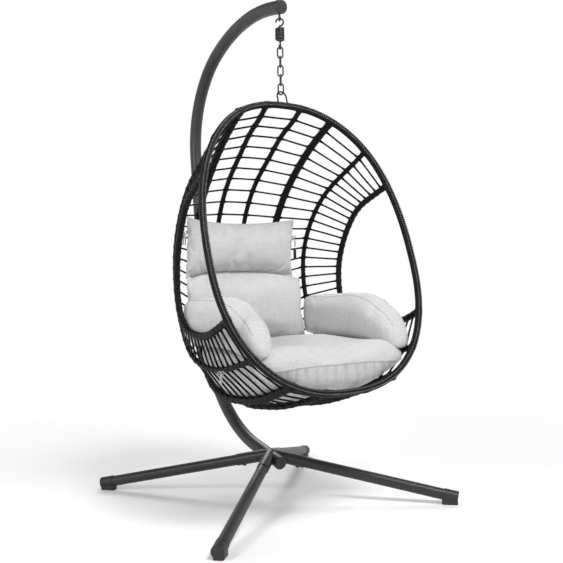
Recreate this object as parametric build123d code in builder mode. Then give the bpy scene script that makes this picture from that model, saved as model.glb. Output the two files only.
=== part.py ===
from build123d import *
import math
import os

# Hanging egg chair on a four-legged stand. Millimetres, +Z up, the sitter faces -Y.
# The origin is on the floor, under the middle of the whole chair's bounding box. Shapes are drawn
# about the stand's own centre, on the floor under its hub, and at() moves them to the chair's frame.

os.makedirs("parts", exist_ok=True)

stand_y = -55.4          # the stand's centre along Y in the chair's frame

# post: a bent tube in the YZ plane, from the stub in front of the hub to the end of the arm
post_d = 52.0
post_wall = 2.0
post_start = (-72.0, 145.0)
post_heading = 11.8
lower_moves = [(189.0, 0), (534.0, 72.6), (50.0, 0)]      # (length, 0) or (radius, turn)
middle_moves = [(400.0, 0)]
upper_moves = [(331.0, 0), (420.0, 68.6), (713.0, 38.0), (61.0, 0)]
spigot_half = 58.0
spigot_gap = 0.15
plug_flange = 6.0
plug_depth = 20.0

# legs
leg_angles = [45, 135, 225, 315]
hub_height = 167.0
leg_d = 42.0
leg_wall = 2.0
leg_drop = 0.197         # fall of a leg's axis for each millimetre outward
leg_start = 62.0
leg_end = 716.0
sleeve_d = 47.0
sleeve_bore = 42.6
sleeve_end = 138.0

# feet
foot_d = 46.5
foot_bore = 42.3
foot_start = 672.0
foot_end = 724.0
pad_width = 36.0
pad_start = 664.0
pad_top = 24.0

# bolts
bolt_d = 8.0
bolt_hole_d = 8.4
bolt_head_d = 14.0
bolt_head_h = 4.5
hex_key = 5.0
joint_bolt_at = 35.0     # from a joint of the post, along it
joint_bolt_length = 14.0
leg_bolt_at = 112.0
leg_bolt_length = 12.0

# hanger, on one vertical line below the arm
hang_y = -124.0
eye_wire = 7.5
eye_inner_d = 12.0
eye_z = 1861.25
shank_top = 1943.0
washer_d = 22.0
washer_z = (1920.0, 1930.5)
nut_width = 13.0
nut_h = 8.0
spring_wire = 6.5
spring_r = 15.25
coil_z = (1775.0, 1823.3)
coil_turns = 6.75        # so that the coil's ends stand a quarter turn apart, like its hooks
upper_hook = (1829.8, 14.5)      # height of the bar under the loop, and the loop's radius
lower_hook = (1768.5, 13.0)
hook_turn = 270
link_wire = 6.0
link_r = 10.0
link_straight = 21.3
link_top = 1728.4
link_pitch = 35.0
link_count = 5
link_yaw = -42.0         # turn of the odd links about Z from facing -Y
ring_wire = 6.0
ring_r = 20.0
ring_top = 1578.0

# basket rim: an egg of two half superellipses, drawn in a leaning surface
rim_half_width = 442.5
rim_middle_z = 949.0
rim_above = 573.0
rim_below = 480.0
power_above = 2.28
power_below = 2.38
rim_lean = 0.33
rim_back = (-299.0, 1100.0)      # a point (y, z) of the leaning plane
rim_sweep = 18.0
sweep_from = 1300.0
sweep_over = 215.0
rim_wrap_d = 25.0
rim_core_d = 16.0
rim_seam = 0.005         # degrees left open between the rim's halves at its top and its bottom
wrap_gap = 0.3
arcs_per_path = 12       # arcs that each half of the rim and each rib are drawn with

# strands
rows = 36
strand_d = 6.0
bite = 2.5               # how deep a strand, or a rib, sits in the winding it meets
weld = 0.5               # how deep a rib's rod sits in the rim's core

# ribs from the middle of the back outwards: spacing from the middle at the top joint, narrowing for
# each millimetre behind it, diameters of the winding and the rod, and the axis seen from the
# side, (y, z) from just under the top joint with the rim to just behind the bottom one
ribs = {
    "inner": (77.0, 0.035, 20.0, 6.0, [
        (-95, 1481), (-21, 1440), (80, 1360), (172, 1280), (237, 1200), (285, 1105), (312, 1000),
        (318, 880), (308, 750), (283, 610), (235, 480), (160, 395), (60, 364), (-60, 370),
        (-190, 386), (-330, 417)]),
    "thick": (207.0, 0.050, 30.0, 8.0, [
        (-102, 1440), (-12, 1380), (81, 1300), (157, 1218), (215, 1130), (255, 1030), (268, 920),
        (262, 800), (240, 670), (195, 545), (130, 460), (30, 418), (-90, 414), (-200, 424),
        (-330, 450)]),
    "outer": (335.0, 0.070, 20.0, 6.0, [
        (-164, 1333), (-61, 1278), (37, 1217), (112, 1141), (167, 1050), (194, 960), (197, 870),
        (186, 796), (166, 740), (125, 665), (70, 600), (0, 562), (-90, 545), (-190, 544),
        (-300, 560)]),
    "edge": (404.0, 0.094, 24.0, 6.0, [
        (-172, 1187), (-98, 1149), (-32, 1074), (15, 977), (32, 900), (33, 850), (28, 800),
        (8, 745), (-28, 705), (-70, 682), (-130, 671), (-200, 668), (-275, 677), (-348, 699)]),
}
rib_order = ["edge", "outer", "thick", "inner"]

# cushions: half outlines, mirrored about X = 0
seat_sections = {        # y: (x, z) from the middle of the underside round to the middle of the top
    -465: [(0, 484), (77, 484), (200, 514), (262, 543), (290, 564), (280, 576), (0, 584)],
    -400: [(0, 462), (80, 462), (214, 497), (300, 560), (322, 586), (306, 602), (0, 612)],
    -250: [(0, 418), (81, 418), (212, 456), (316, 560), (332, 600), (284, 624), (0, 634)],
    -100: [(0, 393), (78, 393), (208, 438), (304, 552), (314, 600), (270, 630), (0, 638)],
    50: [(0, 386), (75, 386), (196, 450), (276, 562), (280, 600), (260, 616), (0, 622)],
    125: [(0, 408), (72, 408), (178, 486), (236, 578), (246, 600), (236, 610), (0, 613)],
}
back_sections = {        # z: (x, y) from the middle of the front round to the middle of the back
    617: [(0, 135), (196, 118), (254, 84), (262, 104), (196, 188), (80, 242), (0, 256)],
    750: [(0, 152), (200, 132), (256, 98), (262, 150), (186, 222), (75, 272), (0, 278)],
    884: [(0, 176), (190, 152), (254, 124), (258, 160), (180, 212), (70, 254), (0, 262)],
}
pillow_sections = {
    888: [(0, 198), (180, 168), (242, 146), (246, 176), (176, 224), (70, 266), (0, 272)],
    985: [(0, 172), (180, 144), (246, 136), (250, 178), (180, 232), (72, 278), (0, 286)],
    1098: [(0, 186), (180, 160), (240, 152), (244, 172), (176, 208), (68, 246), (0, 254)],
}
arm_sections = {         # y: (x, z) of the middle, half width and half height
    122: (275, 712, 22, 66),
    70: (287, 712, 44, 78),
    0: (298, 713, 60, 84),
    -100: (299, 714, 76, 85),
    -250: (301, 712, 74, 84),
    -310: (304, 700, 66, 78),
    -360: (308, 680, 56, 72),
    -400: (312, 664, 44, 60),
    -430: (316, 644, 28, 40),
    -446: (319, 624, 12, 18),
}
back_shift = -25.0       # the back cushion and the pillow sit a little off the middle
pillow_shift = -20.0

# ties and tag
tie_width = 9.0
tie_thickness = 1.6
knot_d = 11.0
ties = [                 # knot's middle and the length of the tail below it
    (431.5, -392.0, 733.0, 100.0),
    (-356.0, -262.0, 541.0, 42.0),
    (246.0, 184.0, 1040.0, 40.0),
    (-275.5, 174.0, 1050.0, 46.0),
]
tag_size = (14.0, 1.2, 40.0)
tag_at = (237.5, 158.0, 966.0)


def at(x, y, z):
    """A point drawn about the stand's centre, in the chair's frame."""
    return Vector(x, y + stand_y, z)


def save(piece, label):
    """Label a finished piece and write its STEP file."""
    piece.part.label = label
    export_step(piece.part, f"parts/{label}.step")


def disc(plane, diameter):
    """A disc drawn on a plane."""
    with BuildSketch(plane) as drawn:
        Circle(diameter / 2)
    return drawn.sketch


def hexagon(plane, width):
    """A hexagon drawn on a plane, by its width across the flats."""
    with BuildSketch(plane) as drawn:
        RegularPolygon(width / 2, 6, major_radius=False)
    return drawn.sketch


def arcs(points):
    """A smooth wire of arcs, each through three of the points in turn."""
    with BuildLine() as line:
        for first, middle, last in zip(points[:-2:2], points[1:-1:2], points[2::2]):
            ThreePointArc(first, middle, last)
    return line.line


def sweep_tube(path, outer_d, inner_d):
    """Sweep a ring along a path."""
    with BuildSketch(Plane(path @ 0, z_dir=path % 0)) as drawn:
        Circle(outer_d / 2)
        Circle(inner_d / 2, mode=Mode.SUBTRACT)
    sweep(drawn.sketch, path=path)


def sweep_disc(path, diameter, mode=Mode.ADD):
    """Sweep a disc along a path."""
    sweep(disc(Plane(path @ 0, z_dir=path % 0), diameter), path=path, mode=mode)


def rod(start, end, diameter, mode=Mode.ADD):
    """A straight round bar between two points."""
    extrude(disc(Plane(start, z_dir=end - start), diameter), amount=(end - start).length, mode=mode)


# ---------------------------------------------------------------- post

def draw_moves(start, heading, moves):
    """Draw runs and tangent bends end to end in the YZ plane; return the end and its heading."""
    here = at(0, *start)
    for length, turn in moves:
        along = Vector(0, 1, 0).rotate(Axis.X, heading)
        if turn:
            centre = here + along.rotate(Axis.X, 90) * length
            middle, end = [centre + (here - centre).rotate(Axis.X, turn * part) for part in (0.5, 1)]
            ThreePointArc(here, middle, end)
            heading += turn
        else:
            end = here + along * length
            Line(here, end)
        here = end
    return (here.Y - stand_y, here.Z), heading


def post_path(start, heading, moves):
    """The wire of one section of the post, its end and its heading."""
    with BuildLine() as line:
        end, heading = draw_moves(start, heading, moves)
    return line.line, end, heading


def joint_plane(end, heading, along):
    """Plane across the post, a distance along it from a joint, with its X axis to the back."""
    direction = Vector(0, 1, 0).rotate(Axis.X, heading)
    return Plane(at(0, *end) + direction * along, x_dir=direction.rotate(Axis.X, -90), z_dir=direction)


def bolt_plane(end, heading, side):
    """Plane tangent to the back of the post at a joint bolt, facing outward."""
    across = joint_plane(end, heading, side * joint_bolt_at)
    return Plane(across.origin + across.x_dir * (post_d / 2), z_dir=across.x_dir)


def leg_point(angle, r, lift=0.0):
    """A point on a leg's axis, r outward from the hub and lifted from the axis."""
    a = math.radians(angle)
    return at(r * math.cos(a), r * math.sin(a), hub_height - leg_drop * r + lift)


def leg_bolt_plane(angle):
    """Plane tangent to the underside of a leg's sleeve at its bolt, facing down."""
    along = leg_point(angle, 1) - leg_point(angle, 0)
    side = Vector(0, 0, 1).cross(along)
    down = side.cross(along).normalized()
    return Plane(leg_point(angle, leg_bolt_at) + down * (sleeve_d / 2), z_dir=down)


def drill(plane):
    """A bolt's clearance hole, down from a plane through one wall."""
    extrude(disc(plane, bolt_hole_d), amount=-leg_bolt_length, mode=Mode.SUBTRACT)


def bolt(plane, length):
    """A button-headed bolt: its head stands on a plane and its shank goes down through it."""
    top = plane.offset(bolt_head_h)
    extrude(disc(plane, bolt_head_d), amount=bolt_head_h)
    fillet(edges(Select.LAST).sort_by(Axis(plane.origin, plane.z_dir))[-1], bolt_head_h * 0.6)
    extrude(hexagon(top, hex_key), amount=-bolt_head_h / 2, mode=Mode.SUBTRACT)
    extrude(disc(plane, bolt_d), amount=-length)


post_bore = post_d - 2 * post_wall
lower_path, lower_end, lower_heading = post_path(post_start, post_heading, lower_moves)
middle_path, middle_end, middle_heading = post_path(lower_end, lower_heading, middle_moves)
upper_path, arm_end, arm_heading = post_path(middle_end, middle_heading, upper_moves)
post_joints = {"lower": (lower_end, lower_heading), "upper": (middle_end, middle_heading)}

with BuildPart() as post_lower:
    sweep_disc(lower_path, post_d)
    for angle in leg_angles:
        rod(leg_point(angle, 0), leg_point(angle, sleeve_end), sleeve_d)
    sweep_disc(lower_path, post_bore, mode=Mode.SUBTRACT)
    for angle in leg_angles:
        rod(leg_point(angle, leg_start - 1), leg_point(angle, sleeve_end + 1), sleeve_bore,
            mode=Mode.SUBTRACT)
        drill(leg_bolt_plane(angle))
    drill(bolt_plane(lower_end, lower_heading, -1))
save(post_lower, "post_lower")

with BuildPart() as post_middle:
    sweep_disc(middle_path, post_d)
    sweep_disc(middle_path, post_bore, mode=Mode.SUBTRACT)
    drill(bolt_plane(lower_end, lower_heading, 1))
    drill(bolt_plane(middle_end, middle_heading, -1))
save(post_middle, "post_middle")

with BuildPart() as post_upper:
    sweep_disc(upper_path, post_d)
    sweep_disc(upper_path, post_bore, mode=Mode.SUBTRACT)
    drill(bolt_plane(middle_end, middle_heading, 1))
    rod(at(0, hang_y, eye_z), at(0, hang_y, shank_top), bolt_hole_d, mode=Mode.SUBTRACT)
save(post_upper, "post_upper")

for name, (end, heading) in post_joints.items():
    spigot_d = post_bore - 2 * spigot_gap
    with BuildPart() as spigot:
        with BuildSketch(joint_plane(end, heading, -spigot_half)):
            Circle(spigot_d / 2)
            Circle(spigot_d / 2 - post_wall, mode=Mode.SUBTRACT)
        extrude(amount=2 * spigot_half)
        drill(bolt_plane(end, heading, -1))
        drill(bolt_plane(end, heading, 1))
    save(spigot, f"{name}_spigot")

with BuildPart() as joint_bolts:
    for end, heading in post_joints.values():
        for side in (-1, 1):
            bolt(bolt_plane(end, heading, side), joint_bolt_length)
save(joint_bolts, "joint_bolts")


def tube_plug(plane):
    """A round plastic plug: a domed flange on a tube's end and a stem inside it."""
    with BuildPart() as plug:
        extrude(disc(plane, post_d), amount=plug_flange)
        fillet(edges().sort_by(Axis(plane.origin, plane.z_dir))[-1], plug_flange * 0.6)
        with BuildSketch(plane):
            Circle(post_bore / 2 - spigot_gap)
            Circle(post_bore / 2 - 2 * post_wall, mode=Mode.SUBTRACT)
        extrude(amount=-plug_depth)
    return plug


with BuildPart() as arm_plug:
    add(tube_plug(Plane(upper_path @ 1, z_dir=upper_path % 1)).part)
    rod(at(0, hang_y, eye_z), at(0, hang_y, shank_top), bolt_hole_d, mode=Mode.SUBTRACT)
save(arm_plug, "arm_plug")
save(tube_plug(Plane(lower_path @ 0, z_dir=-(lower_path % 0))), "stub_plug")

# ---------------------------------------------------------------- legs

leg_names = {45: "back_right", 135: "back_left", 225: "front_left", 315: "front_right"}

for angle, name in leg_names.items():
    with BuildPart() as leg:
        rod(leg_point(angle, leg_start), leg_point(angle, leg_end), leg_d)
        rod(leg_point(angle, leg_start - 1), leg_point(angle, leg_end + 1), leg_d - 2 * leg_wall,
            mode=Mode.SUBTRACT)
        drill(leg_bolt_plane(angle))
    save(leg, f"leg_{name}")

    with BuildPart() as foot:
        rod(leg_point(angle, foot_start), leg_point(angle, foot_end), foot_d)
        with BuildSketch(Plane(at(0, 0, 0)).rotated((0, 0, angle))):
            with Locations(((pad_start + foot_end) / 2, 0)):
                RectangleRounded(foot_end - pad_start, pad_width, pad_width / 4)
        extrude(amount=pad_top)
        rod(leg_point(angle, pad_start - 10), leg_point(angle, leg_end + wrap_gap), foot_bore,
            mode=Mode.SUBTRACT)
    save(foot, f"foot_{name}")

with BuildPart() as leg_bolts:
    for angle in leg_angles:
        bolt(leg_bolt_plane(angle), leg_bolt_length)
save(leg_bolts, "leg_bolts")

# ---------------------------------------------------------------- hanger

def turned(yaw, across, z):
    """A point on the hanger, across its vertical line in a plane turned by yaw about Z."""
    a = math.radians(yaw)
    return at(across * math.cos(a), hang_y + across * math.sin(a), z)


def turned_plane(yaw, z):
    """A plane facing level through the hanger's line: its X axis goes across, its Y axis up."""
    a = math.radians(yaw)
    return Plane(at(0, hang_y, z), x_dir=(math.cos(a), math.sin(a), 0),
                 z_dir=(math.sin(a), -math.cos(a), 0))


with BuildPart() as eye_bolt:
    with BuildSketch(Plane(turned(link_yaw + 90, (eye_inner_d + eye_wire) / 2, eye_z),
                           z_dir=(0, 0, 1))):
        Circle(eye_wire / 2)
    revolve(axis=Axis(at(0, hang_y, eye_z), turned_plane(link_yaw + 90, 0).z_dir))
    rod(at(0, hang_y, eye_z + (eye_inner_d + eye_wire) / 2), at(0, hang_y, shank_top), bolt_d)
save(eye_bolt, "eye_bolt")

with BuildPart() as saddle_washer:
    rod(at(0, hang_y, washer_z[0]), at(0, hang_y, washer_z[1]), washer_d)
    sweep_disc(upper_path, post_d, mode=Mode.SUBTRACT)
    rod(at(0, hang_y, washer_z[0]), at(0, hang_y, washer_z[1]), bolt_hole_d, mode=Mode.SUBTRACT)
save(saddle_washer, "saddle_washer")

with BuildPart() as eye_nut:
    with BuildSketch(Plane(at(0, hang_y, washer_z[1]))):
        RegularPolygon(nut_width / 2, 6, major_radius=False)
        Circle(bolt_hole_d / 2, mode=Mode.SUBTRACT)
    extrude(amount=nut_h)
save(eye_nut, "eye_nut")


def hook(level, yaw, side, coil_end):
    """A spring's hook: a bar from the end of the coil to the middle, and a loop above or below it."""
    height, radius = level
    foot = turned(yaw, 0, height)
    facing = turned_plane(yaw, height)
    loop_axis = Axis(turned(yaw, 0, height + side * radius), facing.z_dir * side)
    with BuildPart(mode=Mode.PRIVATE) as drawn:
        revolve(disc(Plane(foot, z_dir=facing.x_dir), spring_wire), axis=loop_axis,
                revolution_arc=hook_turn)
        rod(coil_end, foot, spring_wire)
        with Locations(foot):
            Sphere(spring_wire / 2)
    return drawn.part


lower_yaw = link_yaw + 90
coil_plane = Plane(turned(0, 0, coil_z[0]), x_dir=-turned_plane(lower_yaw, 0).x_dir, z_dir=(0, 0, 1))
with BuildLine(coil_plane) as coil:
    Helix((coil_z[1] - coil_z[0]) / coil_turns, coil_z[1] - coil_z[0], spring_r)
lower_part = hook(lower_hook, lower_yaw, -1, coil.line @ 0)
upper_part = hook(upper_hook, link_yaw, 1, coil.line @ 1)

with BuildPart() as extension_spring:
    sweep_disc(coil.line, spring_wire)
    add(lower_part)
    add(upper_part)
save(extension_spring, "extension_spring")

for i in range(link_count):
    end = link_straight / 2
    with BuildPart() as link:
        with BuildLine(turned_plane(link_yaw + 90 * (i % 2), link_top - link_pitch * i)) as outline:
            Line((link_r, -end), (link_r, end))
            ThreePointArc((link_r, end), (0, end + link_r), (-link_r, end))
            Line((-link_r, end), (-link_r, -end))
            ThreePointArc((-link_r, -end), (0, -end - link_r), (link_r, -end))
        sweep_disc(outline.line, link_wire)
    save(link, f"chain_link_{i + 1}")

# ---------------------------------------------------------------- basket rim

def half_rim(z):
    """Height and power of the half of the rim that a height lies in."""
    return (rim_above, power_above) if z > rim_middle_z else (-rim_below, power_below)


def rim_y(z):
    """Where the rim's surface stands along Y at a height."""
    bend = max(0.0, (z - sweep_from) / sweep_over)
    return rim_back[0] + rim_lean * (z - rim_back[1]) + rim_sweep * bend * bend


def rim_point(angle):
    """A point on the rim's axis, by its angle round the egg from the sitter's left."""
    c, s = math.cos(math.radians(angle)), math.sin(math.radians(angle))
    half, power = half_rim(rim_middle_z + s)
    x = rim_half_width * math.copysign(abs(c) ** (2 / power), c)
    z = rim_middle_z + half * abs(s) ** (2 / power)
    return at(x, rim_y(z), z)


def rim_joint(x, top):
    """The point on the rim's axis at a distance from the middle, on its top or its bottom."""
    half, power = half_rim(rim_middle_z + (1 if top else -1))
    z = rim_middle_z + half * (1 - abs(x / rim_half_width) ** power) ** (1 / power)
    return at(x, rim_y(z), z)


def rib_axis(name, side):
    """The curve of a rib's axis, on the sitter's left (side 1) or right (side -1)."""
    spacing, narrowing, winding_d, core_d, profile = ribs[name]
    first = rim_joint(side * spacing, True)
    points = [first]
    for y, z in profile:
        points.append(at(side * (spacing - narrowing * (y + stand_y - first.Y)), y, z))
    points.append(rim_joint(points[-1].X, False))
    return Edge.make_spline(points)


def rib_wire(name, side, inset):
    """The wire along a rib's axis, ending an inset short of the rim's axis at both ends."""
    axis = rib_axes[name, side]
    start = inset / axis.length
    count = 2 * arcs_per_path
    return arcs([axis @ (start + (1 - 2 * start) * i / count) for i in range(count + 1)])


def rim_wire(side):
    """The wire along one half of the rim's axis, from the top to the bottom."""
    count = 2 * arcs_per_path
    sweep_angle = 180 - 2 * rim_seam
    return arcs([rim_point(90 - side * (rim_seam + sweep_angle * i / count)) for i in range(count + 1)])


side_names = {-1: "left", 1: "right"}      # as seen from in front of the chair
rib_axes = {(name, side): rib_axis(name, side) for name in rib_order for side in side_names}

for side, side_name in side_names.items():
    with BuildPart() as rim_wrap:
        sweep_tube(rim_wire(side), rim_wrap_d, rim_core_d + 2 * wrap_gap)
    save(rim_wrap, f"rim_wrap_{side_name}")

    with BuildPart() as frame:
        sweep_disc(rim_wire(side), rim_core_d)
        for name in rib_order:
            sweep_disc(rib_wire(name, side, rim_core_d / 2 - weld), ribs[name][3])
    save(frame, f"frame_{side_name}")

for name, side in rib_axes:
    with BuildPart() as rib:
        sweep_tube(rib_wire(name, side, rim_wrap_d / 2 - bite), ribs[name][2],
                   ribs[name][3] + 2 * wrap_gap)
    save(rib, f"rib_{name}_{side_names[side]}")

# ---------------------------------------------------------------- hanging ring

with BuildPart() as hanging_ring:
    crown = at(0, hang_y, ring_top)
    root = rim_joint(0, True)
    lean = (crown - root).normalized()
    knee = crown - lean * ring_r
    across = Vector(ring_r, 0, 0)
    with BuildLine() as staple:
        Line(root - across, knee - across)
        ThreePointArc(knee - across, crown, knee + across)
        Line(knee + across, root + across)
    sweep_disc(staple.line, ring_wire)
save(hanging_ring, "hanging_ring")

# ---------------------------------------------------------------- strands

def strand(start, start_d, end, end_d):
    """A strand between two ribs' axes; its ends sit a bite deep in their windings."""
    way = (end - start).normalized()
    rod(start + way * (start_d / 2 - bite), end - way * (end_d / 2 - bite), strand_d)


gaps = [((outer, side), (inner, side)) for side in side_names
        for outer, inner in zip(rib_order, rib_order[1:])]
gaps.append((("inner", -1), ("inner", 1)))

for first, second in gaps:
    with BuildPart() as panel:
        for row in range(1, rows):
            strand(rib_axes[first] @ (row / rows), ribs[first[0]][2],
                   rib_axes[second] @ (row / rows), ribs[second[0]][2])
    place = "middle" if first[0] == second[0] else f"{first[0]}_{side_names[first[1]]}"
    save(panel, f"strands_{place}")

# ---------------------------------------------------------------- cushions

def mirrored(half):
    """A closed outline from its half on the +X side, first and last points on the middle."""
    return half + [(-x, value) for x, value in half[-2:0:-1]]


def cushion(sections, upright, shift=0.0):
    """Loft a cushion through its sections, level ones (by z) or upright ones (by y)."""
    drawn = []
    for place, half in sections.items():
        plane = Plane(at(shift, 0, place))
        if not upright:
            plane = Plane(at(shift, place, 0), x_dir=(1, 0, 0), z_dir=(0, -1, 0))
        with BuildSketch(plane) as sketch:
            with BuildLine():
                Polyline(*mirrored(half), close=True)
            make_face()
        drawn.append(sketch.sketch)
    loft(drawn, ruled=True)


def arm_section(place, side):
    """One oval section of an arm cushion."""
    x, z, half_width, half_height = arm_sections[place]
    with BuildSketch(Plane(at(side * x, place, z), x_dir=(1, 0, 0), z_dir=(0, -1, 0))) as sketch:
        Ellipse(half_width, half_height)
    return sketch.sketch


arm_cushions = {}
for side, side_name in side_names.items():
    with BuildPart() as arm_cushion:
        loft([arm_section(place, side) for place in arm_sections], ruled=True)
    arm_cushions[side] = arm_cushion.part
    save(arm_cushion, f"arm_cushion_{side_name}")

with BuildPart() as back_cushion:
    cushion(back_sections, True, back_shift)
    add(list(arm_cushions.values()), mode=Mode.SUBTRACT)
save(back_cushion, "back_cushion")

with BuildPart() as seat_cushion:
    cushion(seat_sections, False)
    add(list(arm_cushions.values()), mode=Mode.SUBTRACT)
save(seat_cushion, "seat_cushion")

with BuildPart() as head_pillow:
    cushion(pillow_sections, True, pillow_shift)
save(head_pillow, "head_pillow")

# ---------------------------------------------------------------- ties and tag

with BuildPart() as cushion_ties:
    for x, y, z, length in ties:
        with Locations(at(x, y, z)):
            Sphere(knot_d / 2)
            Box(tie_thickness, tie_width, length, align=(Align.CENTER, Align.CENTER, Align.MAX))
save(cushion_ties, "cushion_ties")

with BuildPart() as care_tag:
    with Locations(at(*tag_at)):
        Box(*tag_size)
save(care_tag, "care_tag")
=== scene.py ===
import math

import bpy
import numpy as np
from mathutils import Matrix, Vector
from mathutils.bvhtree import BVHTree


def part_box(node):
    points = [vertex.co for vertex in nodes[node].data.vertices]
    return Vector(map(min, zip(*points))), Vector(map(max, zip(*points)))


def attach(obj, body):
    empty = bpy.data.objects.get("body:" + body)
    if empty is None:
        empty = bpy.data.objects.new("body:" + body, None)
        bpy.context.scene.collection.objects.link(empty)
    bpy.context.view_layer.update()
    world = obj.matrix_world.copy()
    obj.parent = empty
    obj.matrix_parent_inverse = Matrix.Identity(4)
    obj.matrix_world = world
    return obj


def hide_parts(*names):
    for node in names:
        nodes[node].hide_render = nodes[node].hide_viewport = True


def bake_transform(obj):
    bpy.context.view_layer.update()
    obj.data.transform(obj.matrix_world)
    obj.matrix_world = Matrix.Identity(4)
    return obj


# Hanging egg chair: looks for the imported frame. Lengths are in millimetres about the stand's own
# centre, as in part.py, until at() or new_object() turns them into metres in the row's frame.

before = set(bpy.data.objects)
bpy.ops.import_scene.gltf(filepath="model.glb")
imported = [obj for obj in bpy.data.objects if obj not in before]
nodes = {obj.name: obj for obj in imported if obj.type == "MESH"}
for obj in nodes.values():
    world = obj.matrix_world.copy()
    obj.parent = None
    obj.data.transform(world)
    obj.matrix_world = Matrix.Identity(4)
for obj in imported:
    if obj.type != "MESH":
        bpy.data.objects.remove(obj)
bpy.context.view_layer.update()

STAND_Y = -55.4          # where the stand's own centre is along the frame's Y
MM = 0.001               # a millimetre in metres
METRE = 1000.0           # a metre in millimetres

# camera
CAMERA_AT = (-1631.0, -2658.0, 866.0)
CAMERA_YAW = 32.56
CAMERA_PITCH = -0.27
CAMERA_ROLL = -1.06
LENS = 50.24
SENSOR = 36.0

# basket rim and ribs, as in part.py
RIM_HALF_WIDTH = 442.5
RIM_MIDDLE_Z = 949.0
RIM_ABOVE, POWER_ABOVE = 573.0, 2.28
RIM_BELOW, POWER_BELOW = 480.0, 2.38
RIM_LEAN = 0.33
RIM_BACK_Y, RIM_BACK_Z = -299.0, 1100.0
RIM_SWEEP, SWEEP_FROM, SWEEP_OVER = 18.0, 1300.0, 215.0
RIM_D = 25.0
RIM_STEPS = 720
ROWS = 36                # gaps between strands along a rib
STRAND_D = 7.4
RIBS = {    # spacing, narrowing, winding diameter, (y, z) along the axis between its joints
    "inner": (77.0, 0.035, 20.0, [
        (-95, 1481), (-21, 1440), (80, 1360), (172, 1280), (237, 1200), (285, 1105), (312, 1000),
        (318, 880), (308, 750), (283, 610), (235, 480), (160, 395), (60, 364), (-60, 370),
        (-190, 386), (-330, 417)]),
    "thick": (207.0, 0.050, 30.0, [
        (-102, 1440), (-12, 1380), (81, 1300), (157, 1218), (215, 1130), (255, 1030), (268, 920),
        (262, 800), (240, 670), (195, 545), (130, 460), (30, 418), (-90, 414), (-200, 424),
        (-330, 450)]),
    "outer": (335.0, 0.070, 20.0, [
        (-164, 1333), (-61, 1278), (37, 1217), (112, 1141), (167, 1050), (194, 960), (197, 870),
        (186, 796), (166, 740), (125, 665), (70, 600), (0, 562), (-90, 545), (-190, 544),
        (-300, 560)]),
    "edge": (404.0, 0.094, 24.0, [
        (-172, 1187), (-98, 1149), (-32, 1074), (15, 977), (32, 900), (33, 850), (28, 800),
        (8, 745), (-28, 705), (-70, 682), (-130, 671), (-200, 668), (-275, 677), (-348, 699)]),
}
RIB_ORDER = ["edge", "outer", "thick", "inner"]
SIDES = {-1: "left", 1: "right"}

# winding
BAND = 5.5               # width of one turn of cane along a rib or the rim
GROOVE = 1.3             # depth of the groove between turns
GROOVE_POWER = 4         # how flat a turn is between its grooves
BAND_SAMPLES = 5
AXIS_POINTS = 2000
RIB_SIDES = 16
WOUND_RIM_SIDES = 20
LOOP_RISE = 1.6          # how far the loops round a strand's end stand proud
LOOP_REACH = 5.0
END_RISE = 3.0           # how far the lashing at a rib's end stands proud
END_REACH = 20.0
LASHING_RISE = 2.2       # the same on the rim, where a rib meets it
LASHING_REACH = 16.0

# hanger, as in part.py
HANG_Y = -124.0
HANG_YAW = -42.0
SPRING_WIRE = 6.5
SPRING_R = 15.25
COIL_LOW, COIL_HIGH = 1775.0, 1823.3
COIL_TURNS = 6.75
LOWER_BAR, LOWER_LOOP_R = 1768.5, 13.0
UPPER_BAR, UPPER_LOOP_R = 1829.8, 14.5
HOOK_SWEEP = 270.0       # degrees of loop from a hook's bar to its open end
HOOK_POINTS = 40
COIL_POINTS = 40         # points along one turn of the coil
COIL_CUT = 6             # points left out where the coil runs into a hook
SPRING_POINTS = 700
SPRING_SIDES = 14

# cloth
SIM_FRAMES = 20
PRESSURE = 4.0
SEAM_SIDES = 8
SEAM_SKIP = 3            # a seam's line is smoothed through every third of its points


def at(x, y, z):
    """A point about the stand's centre in millimetres, in the row's frame in metres."""
    return Vector((x, y + STAND_Y, z)) * MM


# ---------------------------------------------------------------- curves

FINER = 8                      # a spline is worked out this many times finer than it is asked for
ACROSS = (0.31, 0.17, 0.93)    # a direction that no curve here starts along


def cubic(points, count):
    """Points evenly spaced along a natural cubic spline through the given ones."""
    p = np.array(points, float)
    s = np.r_[0, np.cumsum(np.linalg.norm(np.diff(p, axis=0), axis=1))]
    n = len(s)
    h = np.diff(s)
    a = np.eye(n)
    b = np.zeros_like(p)
    for i in range(1, n - 1):
        a[i, i - 1:i + 2] = h[i - 1], 2 * (h[i - 1] + h[i]), h[i]
        b[i] = 6 * ((p[i + 1] - p[i]) / h[i] - (p[i] - p[i - 1]) / h[i - 1])
    m = np.linalg.solve(a, b)
    t = np.linspace(0, s[-1], FINER * count)
    k = np.clip(np.searchsorted(s, t, side="right") - 1, 0, n - 2)
    u = (t - s[k])[:, None]
    w = (s[k + 1] - t)[:, None]
    g = h[k][:, None]
    q = (m[k] * w ** 3 + m[k + 1] * u ** 3) / (6 * g)
    q += (p[k] / g - m[k] * g / 6) * w + (p[k + 1] / g - m[k + 1] * g / 6) * u
    return even(q, count)


def even(points, count):
    """Points evenly spaced along a polyline."""
    p = np.array(points, float)
    s = np.r_[0, np.cumsum(np.linalg.norm(np.diff(p, axis=0), axis=1))]
    t = np.linspace(0, s[-1], count)
    return np.stack([np.interp(t, s, p[:, i]) for i in range(3)], axis=1)


def length(points):
    """Length of a polyline."""
    return float(np.linalg.norm(np.diff(points, axis=0), axis=1).sum())


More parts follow.
